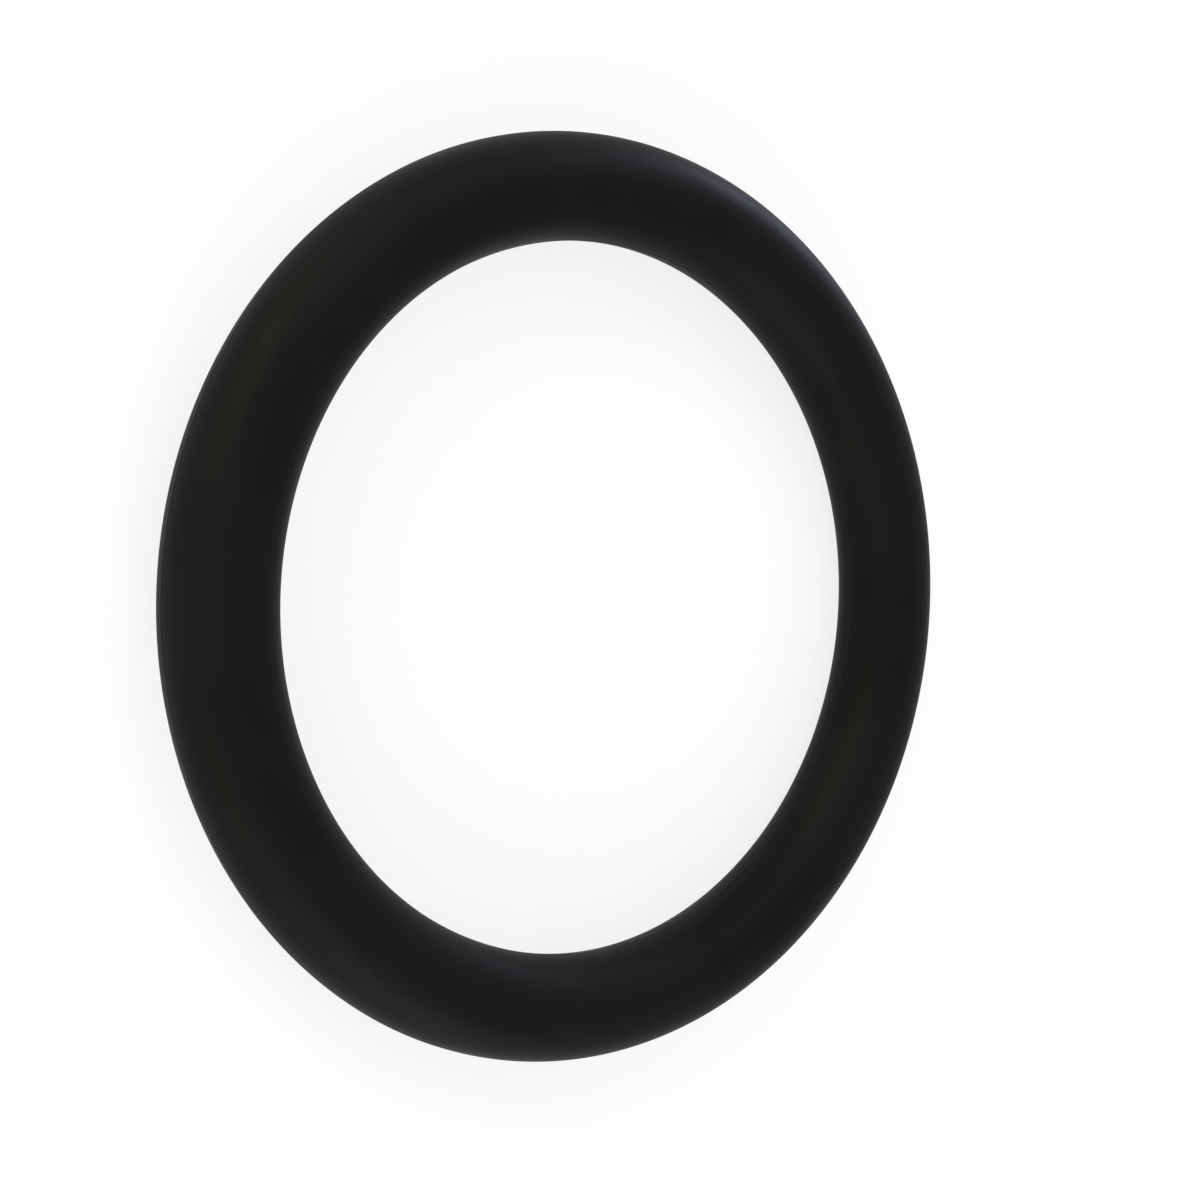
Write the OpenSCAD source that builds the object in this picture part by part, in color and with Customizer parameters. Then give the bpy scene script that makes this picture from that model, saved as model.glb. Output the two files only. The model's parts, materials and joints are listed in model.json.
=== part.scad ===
/* Moulded rubber O-ring, lying flat.
   A solid round cord of rubber, closed into a ring with no seam or joint in it.
   The origin is the centre of the ring. +Z is the ring's axis, and the plane
   z = 0 is where the two halves of the mould met. Lengths are in millimetres. */

/* [Ring] */
// Inside diameter of the free ring, measured between the round sections
inside_d = 24.3; // [8:0.1:80]
// Diameter of the round section
section_d = 3.55; // [1.5:0.05:7]

/* [Parting line] */
// Height of the trimmed flash above the round section, at the bore and at the rim
flash_h = 0.03; // [0.02:0.01:0.1]
// Thickness of the trimmed flash, along the ring's axis
flash_t = 0.1; // [0.05:0.01:0.3]

/* [Hidden] */
// Facets in a full turn, where the ring is drawn as a mesh
$fn = 180;
// Black nitrile rubber
rubber = [0.11, 0.11, 0.105];
// From the ring's axis to the middle of the round section
centre_r = (inside_d + section_d) / 2;

// The ring's section about its own centre: X is away from the ring's axis, Y along it.
module section() {
    circle(d = section_d);
    parting_flash();
}

// What is left of the rubber that was squeezed out between the mould halves.
// It is trimmed to a low flat land, one at the bore and one at the rim,
// and the bar that carries both runs unseen through the round section.
module parting_flash() {
    square([section_d + 2 * flash_h, flash_t], center = true);
}

module o_ring() {
    color(rubber)
        rotate_extrude()
            translate([centre_r, 0])
                section();
}

o_ring();
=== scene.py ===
# %% [markdown]
# # A moulded rubber O-ring
#
# An O-ring is a closed ring of solid rubber with a round section. It sits squeezed in a groove between two
# parts, so that nothing leaks past it. This one is black nitrile rubber, and it lies on a pale table.
#
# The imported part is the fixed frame: its sizes are right, and they aren't changed here. The lesson gives
# the ring a fine skin, the satin black of moulded rubber, and soft light. All lengths are in metres. The
# ring's axis is Z, and its centre is the origin.

# %% Load the fixed frame
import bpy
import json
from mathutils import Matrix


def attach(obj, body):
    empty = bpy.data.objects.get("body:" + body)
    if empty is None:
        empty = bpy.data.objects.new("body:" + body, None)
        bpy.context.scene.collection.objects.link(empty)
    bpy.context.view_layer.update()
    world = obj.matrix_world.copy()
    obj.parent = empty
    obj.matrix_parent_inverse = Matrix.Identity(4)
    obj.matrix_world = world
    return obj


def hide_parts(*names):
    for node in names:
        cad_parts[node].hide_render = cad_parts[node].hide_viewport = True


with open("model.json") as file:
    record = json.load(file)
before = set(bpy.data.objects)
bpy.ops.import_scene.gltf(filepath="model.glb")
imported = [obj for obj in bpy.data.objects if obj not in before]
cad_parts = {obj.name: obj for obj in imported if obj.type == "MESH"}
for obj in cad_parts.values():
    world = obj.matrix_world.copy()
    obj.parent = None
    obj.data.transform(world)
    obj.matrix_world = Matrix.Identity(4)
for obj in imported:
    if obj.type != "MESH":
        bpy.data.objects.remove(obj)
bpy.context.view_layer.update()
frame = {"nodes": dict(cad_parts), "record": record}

mm_per_metre = 1000


def in_mm(length):
    """A length in millimetres, for the printed lines."""
    return round(mm_per_metre * length, 3)


print("Packed nodes:", sorted(frame["nodes"]))

# %% [markdown]
# ## The ring's sizes
#
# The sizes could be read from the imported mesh, but that mesh has small flats and ends a few microns short.
# The record states the same ring exactly, as the places where it meets other parts, so they are taken from
# there. The circle that it rests on gives the middle of the section and its radius. The rim, where the
# parting line ends in a short wall, gives the height and the thickness of that line.

# %% Read the ring's sizes from the record
from math import cos, pi, radians, sin, tau

mounts = {mount["name"]: mount for mount in frame["record"]["mounts"]}
ring_radius = mounts["lower_circle"]["pos_m"][0]
section_radius = -mounts["lower_circle"]["pos_m"][2]
rim_radius = mounts["rim"]["dims"]["r_mm"] / mm_per_metre
flash_height = rim_radius - ring_radius - section_radius
flash_thickness = mounts["rim"]["dims"]["length_mm"] / mm_per_metre
print("Middle of the section from the axis, mm:", in_mm(ring_radius))
print("Section across, mm:", in_mm(2 * section_radius))
print("Parting line's height and thickness, mm:", in_mm(flash_height), in_mm(flash_thickness))

# %% [markdown]
# ## The camera
#
# The picture looks down on the ring from a little over 53 degrees above the table, and from close by, so
# the near side looks clearly thicker than the far side. The camera is also turned on its side: what is up
# in the picture is a level direction on the table, and the ring's axis points to the right. The middle of
# the picture is the centre of the ring.
#
# The camera could be moved by eye until the ring looks right. Measuring the ring's two outlines is surer:
# how much thicker the near side looks gives the distance, and how large the ring looks then gives the
# lens. A 50 mm lens and the three values below lay both outlines on the picture's, to a fraction of a
# pixel. Blender usually shows nothing within 100 mm of the camera, so that limit is moved in.

# %% Aim the camera
import bpy
from mathutils import Quaternion, Vector

camera_height = radians(53.17)
camera_distance = 0.0571
camera_roll = radians(93.86)
nearest_shown = 0.001

camera_data = bpy.data.cameras.new("camera")
camera_data.lens = 50
camera_data.sensor_width = 36
camera_data.clip_start = nearest_shown
camera = bpy.data.objects.new("camera", camera_data)
camera.location = camera_distance * Vector((0, -cos(camera_height), sin(camera_height)))
level_aim = (-camera.location).to_track_quat("-Z", "Y")
camera.rotation_mode = "QUATERNION"
camera.rotation_quaternion = level_aim @ Quaternion((0, 0, 1), camera_roll)
bpy.context.scene.collection.objects.link(camera)
bpy.context.scene.camera = camera
print("Camera at, mm:", [in_mm(value) for value in camera.location])

# %% [markdown]
# ## The ring's section
#
# The real ring is squeezed into shape between two mould halves, each with half of the round section cut
# into it. A little rubber creeps out between the halves, at the bore and at the rim. It is trimmed off,
# and what is left is a fine raised line, the parting line.
#
# A torus from Blender's menu would leave that line out, and it spreads its points evenly. Here the section
# is drawn first, as points round a circle. They crowd together at the two parting lines, where the shape
# turns in a few hundredths of a millimetre, and thin out at the top and bottom, where it is a plain arc.

# %% Space the section's points
section_points = 144
crowding = 0.9


def section_angle(index):
    """The angle of one point of the section, with more points near 0 and near half a turn."""
    even = tau * index / section_points
    return even - crowding / 2 * sin(2 * even)


section_angles = [section_angle(index) for index in range(section_points)]
top = section_points // 4
closest = section_radius * section_angles[1]
widest = section_radius * (section_angles[top] - section_angles[top - 1])
print("Section points are apart, mm:", in_mm(closest), "to", in_mm(widest))

# %% [markdown]
# ## The parting line
#
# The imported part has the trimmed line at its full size, as a flat band with square edges. On the real ring
# the trimming and the tumbling after it round the band off, and they don't take the same off all the way
# round. So the skin's line is a soft low ridge, whose height wanders between two shares of the full one.
#
# A knife that runs a little off centre cuts closer on one side, and its chatter adds smaller swings. That
# is one slow wave and two quicker ones. Each is written as its number of crests round the ring, its share
# of the swing, and where it starts. Noise could make the line wander too, but waves with a whole number of
# crests meet themselves after a full turn without more work. The bore and the rim are trimmed in two cuts,
# and each is cut closest on its own side of the ring.

# %% Shape the parting line
from math import exp

least_left = 0.12
most_left = 0.6
ridge_spread = 0.7 * flash_thickness
knife_wave = (1, 0.5, 0.0)
chatter_waves = ((3, 0.3, 0.4), (8, 0.2, 2.1))


def left_by_trimming(turn):
    """The share of the parting line's height that a cut left at this place round the ring."""
    waves = (knife_wave, *chatter_waves)
    wander = sum(share * sin(crests * turn + start) for crests, share, start in waves)
    return least_left + (most_left - least_left) * (1 + wander) / 2


def section_at(turn):
    """The section's points at this place round the ring: away from the ring's axis, and along it."""
    rim_crest = flash_height * left_by_trimming(turn)
    bore_crest = flash_height * left_by_trimming(turn + tau / 2)
    points = []
    for angle in section_angles:
        height = section_radius * sin(angle)
        crest = rim_crest if cos(angle) > 0 else bore_crest
        ridge = crest * exp(-(height / ridge_spread) ** 2)
        points.append((ring_radius + (section_radius + ridge) * cos(angle), height))
    return points


heights_left = [flash_height * left_by_trimming(radians(degree)) for degree in range(360)]
print("Parting line's height, mm:", in_mm(min(heights_left)), "to", in_mm(max(heights_left)))

# %% [markdown]
# ## The ring's skin
#
# The section is carried round the axis in even steps, and each step is joined to the next by a band of
# four-sided faces. The last step joins the first, so the skin is closed and has no seam, as the real ring
# is. A Screw modifier turns a section too, but it can't change it on the way, as the parting line needs.
# With 512 steps a flat face is under a third of a thousandth of a millimetre off the circle.

# %% Sweep the section round the axis
import bmesh

ring_steps = 512


def swept_ring(name, steps):
    """A closed ring: its section carried round the Z axis."""
    skin = bmesh.new()
    bands = []
    for step in range(steps):
        turn = tau * step / steps
        places = [(out * cos(turn), out * sin(turn), height) for out, height in section_at(turn)]
        bands.append([skin.verts.new(place) for place in places])
    for here, there in zip(bands, bands[1:] + bands[:1]):
        for point in range(section_points):
            following = (point + 1) % section_points
            skin.faces.new((here[point], there[point], there[following], here[following]))
    bmesh.ops.recalc_face_normals(skin, faces=skin.faces)
    mesh = bpy.data.meshes.new(name)
    skin.to_mesh(mesh)
    skin.free()
    mesh.shade_smooth()
    return mesh


ring = bpy.data.objects.new("o_ring_skin", swept_ring("o_ring_skin", ring_steps))
bpy.context.scene.collection.objects.link(ring)
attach(ring, "root")
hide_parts("o_ring")
print("Ring faces:", len(ring.data.polygons))

# %% [markdown]
# ## Moulded black rubber
#
# Nitrile rubber is black right through, from the carbon in it, and it has a low, soft shine. One
# Principled shader holds both: a black under one hundredth, a roughness of a half, and a low specular
# level, so the pale table shows in the ring only as a faint light edge.
#
# Three things keep it from looking like flat paint, and the next cells add them: the black shifts a little
# in patches, fine lines run round the ring, and a fine grain breaks up the shine. All three come from
# shader nodes. The helpers below make a node, join it to another, and do a sum with one, and the table
# uses them too.

# %% Start the rubber
specular_level = 0.05


def new_node(material, kind, **settings):
    """A new node of this material, with its settings."""
    node = material.node_tree.nodes.new(kind)
    for name, value in settings.items():
        setattr(node, name, value)
    return node


def feed(source, target):
    """Joins an output to an input, or puts a plain number or colour there."""
    if isinstance(source, (int, float, tuple)):
        target.default_value = source
    else:
        target.id_data.links.new(source, target)


def worked_out(material, operation, *values):
    """The result of a Math node of this material, for these values."""
    node = new_node(material, "ShaderNodeMath", operation=operation)
    for value, socket in zip(values, node.inputs):
        feed(value, socket)
    return node.outputs[0]


rubber = bpy.data.materials.new("black_rubber")
rubber.use_nodes = True
surface = rubber.node_tree.nodes["Principled BSDF"]
feed(specular_level, surface.inputs["Specular IOR Level"])
print("Rubber's specular level:", specular_level)

# %% [markdown]
# ## Patches in the black
#
# Wax and curing agents come slowly to the surface of rubber and dry there as a very thin film. It makes
# the black a shade lighter and a touch duller, in patches a few millimetres wide. A painted picture could
# show it, but noise in three dimensions needs no seam and fits a ring of any size. One noise drives both,
# because both come from one film.

# %% Spread the film
patch_size = 0.004
film_starts = 0.35
film_is_full = 0.65


def noise(at, scale, detail):
    """A random value at each place in the rubber, which changes softly from place to place."""
    node = new_node(rubber, "ShaderNodeTexNoise")
    feed(at, node.inputs["Vector"])
    feed(scale, node.inputs["Scale"])
    feed(detail, node.inputs["Detail"])
    return node.outputs["Fac"]


place = new_node(rubber, "ShaderNodeTexCoord").outputs["Object"]
film = new_node(rubber, "ShaderNodeMapRange", interpolation_type="SMOOTHSTEP")
feed(noise(place, scale=1 / patch_size, detail=3), film.inputs["Value"])
feed(film_starts, film.inputs["From Min"])
feed(film_is_full, film.inputs["From Max"])
film_share = film.outputs["Result"]
print("Film patches, mm:", in_mm(patch_size))

# %% Shift the black
bare_black = (0.0060, 0.0060, 0.0058, 1)
filmed_black = (0.0075, 0.0075, 0.0073, 1)

black = new_node(rubber, "ShaderNodeMix", data_type="RGBA")
feed(bare_black, black.inputs["A"])
feed(filmed_black, black.inputs["B"])
feed(film_share, black.inputs["Factor"])
feed(black.outputs["Result"], surface.inputs["Base Color"])
print("Black from", bare_black[0], "to", filmed_black[0])

# %% [markdown]
# ## Lines from the mould
#
# Each mould half was turned on a lathe, and the cutter left very fine grooves in it. The rubber takes them
# up as faint lines that run round the ring. The two halves were cut one by one, so the lines above the
# parting line aren't those below it.
#
# Blender's Wave texture draws rings too, but evenly spaced and all alike. A noise that is stretched along
# the ring gives lines that differ. Its first coordinate is the way round the section, measured in line
# widths, so it changes from line to line. The other two are a slow circle round the axis, so a line fades
# in and out along the ring and meets itself after a full turn. The way round the section starts and ends
# at the bore, where the parting line hides the step.

# %% Measure the way round the section and round the axis
def vector_of(*values):
    """A vector with these parts, and 0 for a part that is left out."""
    node = new_node(rubber, "ShaderNodeCombineXYZ")
    for value, socket in zip(values, node.inputs):
        feed(value, socket)
    return node.outputs[0]


apart = new_node(rubber, "ShaderNodeSeparateXYZ")
feed(place, apart.inputs[0])
along_x, along_y, along_z = apart.outputs
level_length = new_node(rubber, "ShaderNodeVectorMath", operation="LENGTH")
feed(vector_of(along_x, along_y), level_length.inputs[0])
from_axis = level_length.outputs["Value"]

past_middle = worked_out(rubber, "SUBTRACT", from_axis, ring_radius)
round_section = worked_out(rubber, "ARCTAN2", along_z, past_middle)
towards_x = worked_out(rubber, "DIVIDE", along_x, from_axis)
towards_y = worked_out(rubber, "DIVIDE", along_y, from_axis)
print("Rubber nodes so far:", len(rubber.node_tree.nodes))

# %% Draw the mould's lines
line_pitch = 0.00009
fades_per_radian = 5.0

lines_across = worked_out(rubber, "MULTIPLY", round_section, section_radius / line_pitch)
fades_x = worked_out(rubber, "MULTIPLY", towards_x, fades_per_radian)
fades_y = worked_out(rubber, "MULTIPLY", towards_y, fades_per_radian)
lines = noise(vector_of(lines_across, fades_x, fades_y), scale=1, detail=1)
print("Lines round the section:", round(tau * section_radius / line_pitch))

# %% [markdown]
# ## Roughness and relief
#
# The film dulls the shine, and so does each line, a little more or less, so the two are added for the
# roughness. For the relief, the lines are pressed in first, and a fine even grain from the blasted mould
# goes on top. Both are a few thousandths of a millimetre deep, so bump is enough: in the mesh they would
# need millions of faces.

# %% Set the roughness
bare_roughness = 0.47
filmed_roughness = 0.53
line_dulling = 0.1
noise_middle = 0.5

film_dulling = filmed_roughness - bare_roughness
with_film = worked_out(rubber, "MULTIPLY_ADD", film_share, film_dulling, bare_roughness)
line_strength = worked_out(rubber, "SUBTRACT", lines, noise_middle)
roughness = worked_out(rubber, "MULTIPLY_ADD", line_strength, line_dulling, with_film)
feed(roughness, surface.inputs["Roughness"])
print("Roughness from", bare_roughness, "to", filmed_roughness)
print("A line adds or takes off at most", line_dulling / 2)

# %% Press in the lines and the grain
line_depth = 0.000004
grain_size = 0.000045
grain_depth = 0.000003

line_relief = new_node(rubber, "ShaderNodeBump")
feed(line_depth, line_relief.inputs["Distance"])
feed(lines, line_relief.inputs["Height"])
grain_relief = new_node(rubber, "ShaderNodeBump")
feed(grain_depth, grain_relief.inputs["Distance"])
feed(noise(place, scale=1 / grain_size, detail=2), grain_relief.inputs["Height"])
feed(line_relief.outputs["Normal"], grain_relief.inputs["Normal"])
feed(grain_relief.outputs["Normal"], surface.inputs["Normal"])

ring.data.materials.append(rubber)
print("Ring dressed in:", ring.data.materials[0].name)

# %% [markdown]
# ## The table
#
# The ring lies on a plain white table that fills the view. Part of the table's look is satin paint that
# the lamps light, so it takes the ring's soft shadow, and it mirrors the low lamps faintly up onto the
# ring's edges. The rest is a glow of its own with a strength of 1, which is white. More light would whiten
# the table too, but it would wash out the black. The glow shows to the camera, in reflections and through
# clear glass only, so it adds nothing to the light that falls on the rubber.

# %% Lay the table
table_width = 3.0
table_level = -section_radius
edge = table_width / 2

table_mesh = bpy.data.meshes.new("table")
table_corners = [(x * edge, y * edge, table_level) for x, y in ((-1, -1), (1, -1), (1, 1), (-1, 1))]
table_mesh.from_pydata(table_corners, [], [(0, 1, 2, 3)])
table = bpy.data.objects.new("table", table_mesh)
bpy.context.scene.collection.objects.link(table)
print("Table level, mm:", in_mm(table_level))

# %% Mix the table's paint and its glow
table_white = (0.95, 0.95, 0.95, 1)
table_roughness = 0.25
white_glow = 1
glow_share = 0.8

table_paint = bpy.data.materials.new("table_white")
table_paint.use_nodes = True
paint = table_paint.node_tree.nodes["Principled BSDF"]
feed(table_white, paint.inputs["Base Color"])
feed(table_roughness, paint.inputs["Roughness"])
glow = new_node(table_paint, "ShaderNodeEmission")
feed(white_glow, glow.inputs["Strength"])

ray = new_node(table_paint, "ShaderNodeLightPath")
seen = ray.outputs["Is Camera Ray"]
for kind in ("Is Glossy Ray", "Is Transmission Ray"):
    seen = worked_out(table_paint, "MAXIMUM", seen, ray.outputs[kind])
glow_seen = worked_out(table_paint, "MULTIPLY", seen, glow_share)

glowing_paint = new_node(table_paint, "ShaderNodeMixShader")
feed(glow_seen, glowing_paint.inputs["Fac"])
feed(paint.outputs["BSDF"], glowing_paint.inputs[1])
feed(glow.outputs["Emission"], glowing_paint.inputs[2])
feed(glowing_paint.outputs["Shader"], table_paint.node_tree.nodes["Material Output"].inputs["Surface"])
table.data.materials.append(table_paint)
print("Table white:", table_white[0], "and the share of glow:", glow_share)

# %% [markdown]
# ## The light
#
# Black rubber shows its form by what it reflects and by little else. A bright even room gives the whole
# ring the same soft black, and four large softboxes shape it: a cool one high over the picture's top edge,
# and three lower ones, plain at the bottom edge and warm at both corners of the near side, which is the
# picture's left. A small lavender lamp stands on the far side, just above the table. Its light only
# glances off the ring, and gives the far rim its bright edge. One strong lamp would leave a hard spot and
# a black side.
#
# Together they light a white card on the table to about 1.2, so a colour renders about as it is written.

# %% Light the room
room_white = (1, 1, 1, 1)
room_strength = 0.69

room = bpy.data.worlds.new("room")
room.use_nodes = True
room_light = room.node_tree.nodes["Background"]
feed(room_white, room_light.inputs["Color"])
feed(room_strength, room_light.inputs["Strength"])
bpy.context.scene.world = room
print("Room strength:", room_strength)

# %% Make a softbox
lamp_distance = 0.6


def softbox(name, azimuth, height, level, colour, size):
    """A flat lamp aimed at the ring, which lights a white card that faces it to this level.
    Gives back the level on a card that lies on the table."""
    lamp = bpy.data.lights.new(name, "AREA")
    lamp.shape = "RECTANGLE"
    lamp.size, lamp.size_y = size
    lamp.energy = level * (pi * lamp_distance) ** 2
    lamp.color = colour
    stand = bpy.data.objects.new(name, lamp)
    way = Vector((cos(azimuth) * cos(height), sin(azimuth) * cos(height), sin(height)))
    stand.location = lamp_distance * way
    stand.rotation_mode = "QUATERNION"
    stand.rotation_quaternion = way.to_track_quat("Z", "Y")
    stand.visible_camera = False
    bpy.context.scene.collection.objects.link(stand)
    print("Softbox", name, "at, mm:", [round(in_mm(value)) for value in stand.location])
    return level * sin(height) * sum(colour) / len(colour)


print("Softboxes stand off, mm:", in_mm(lamp_distance))

# %% Stand the softboxes
# Colours of the light
cool = (0.58, 0.65, 1.0)
plain = (1.0, 1.0, 1.0)
warm = (1.0, 0.93, 0.62)
lavender = (0.68, 0.72, 1.0)

# Ways to the lamps, as angles round the ring's axis
picture_top = radians(180)
picture_bottom = radians(0)
near_and_top = radians(225)
near_and_bottom = radians(315)
far_and_top = radians(132)

# Heights of the lamps, as angles above the table
halfway_up = radians(45)
low_down = radians(22)
just_above_table = radians(3)

# Width and height of a softbox
large = (0.3, 0.3)
small = (0.15, 0.05)

card_levels = (
    room_strength,
    softbox("high_softbox", picture_top, halfway_up, level=0.25, colour=cool, size=large),
    softbox("plain_softbox", picture_bottom, low_down, level=0.35, colour=plain, size=large),
    softbox("warm_top_softbox", near_and_top, low_down, level=0.47, colour=warm, size=large),
    softbox("warm_bottom_softbox", near_and_bottom, low_down, level=0.19, colour=warm, size=large),
    softbox("far_strip", far_and_top, just_above_table, level=0.32, colour=lavender, size=small),
)
print("A white card on the table is lit to", round(sum(card_levels), 2))

# %% [markdown]
# ## Finish
#
# Colours are shown as they are, without a film look. The skin must not be bigger than the part.

# %% Set the colours
import json

bpy.context.scene.view_settings.view_transform = "Standard"
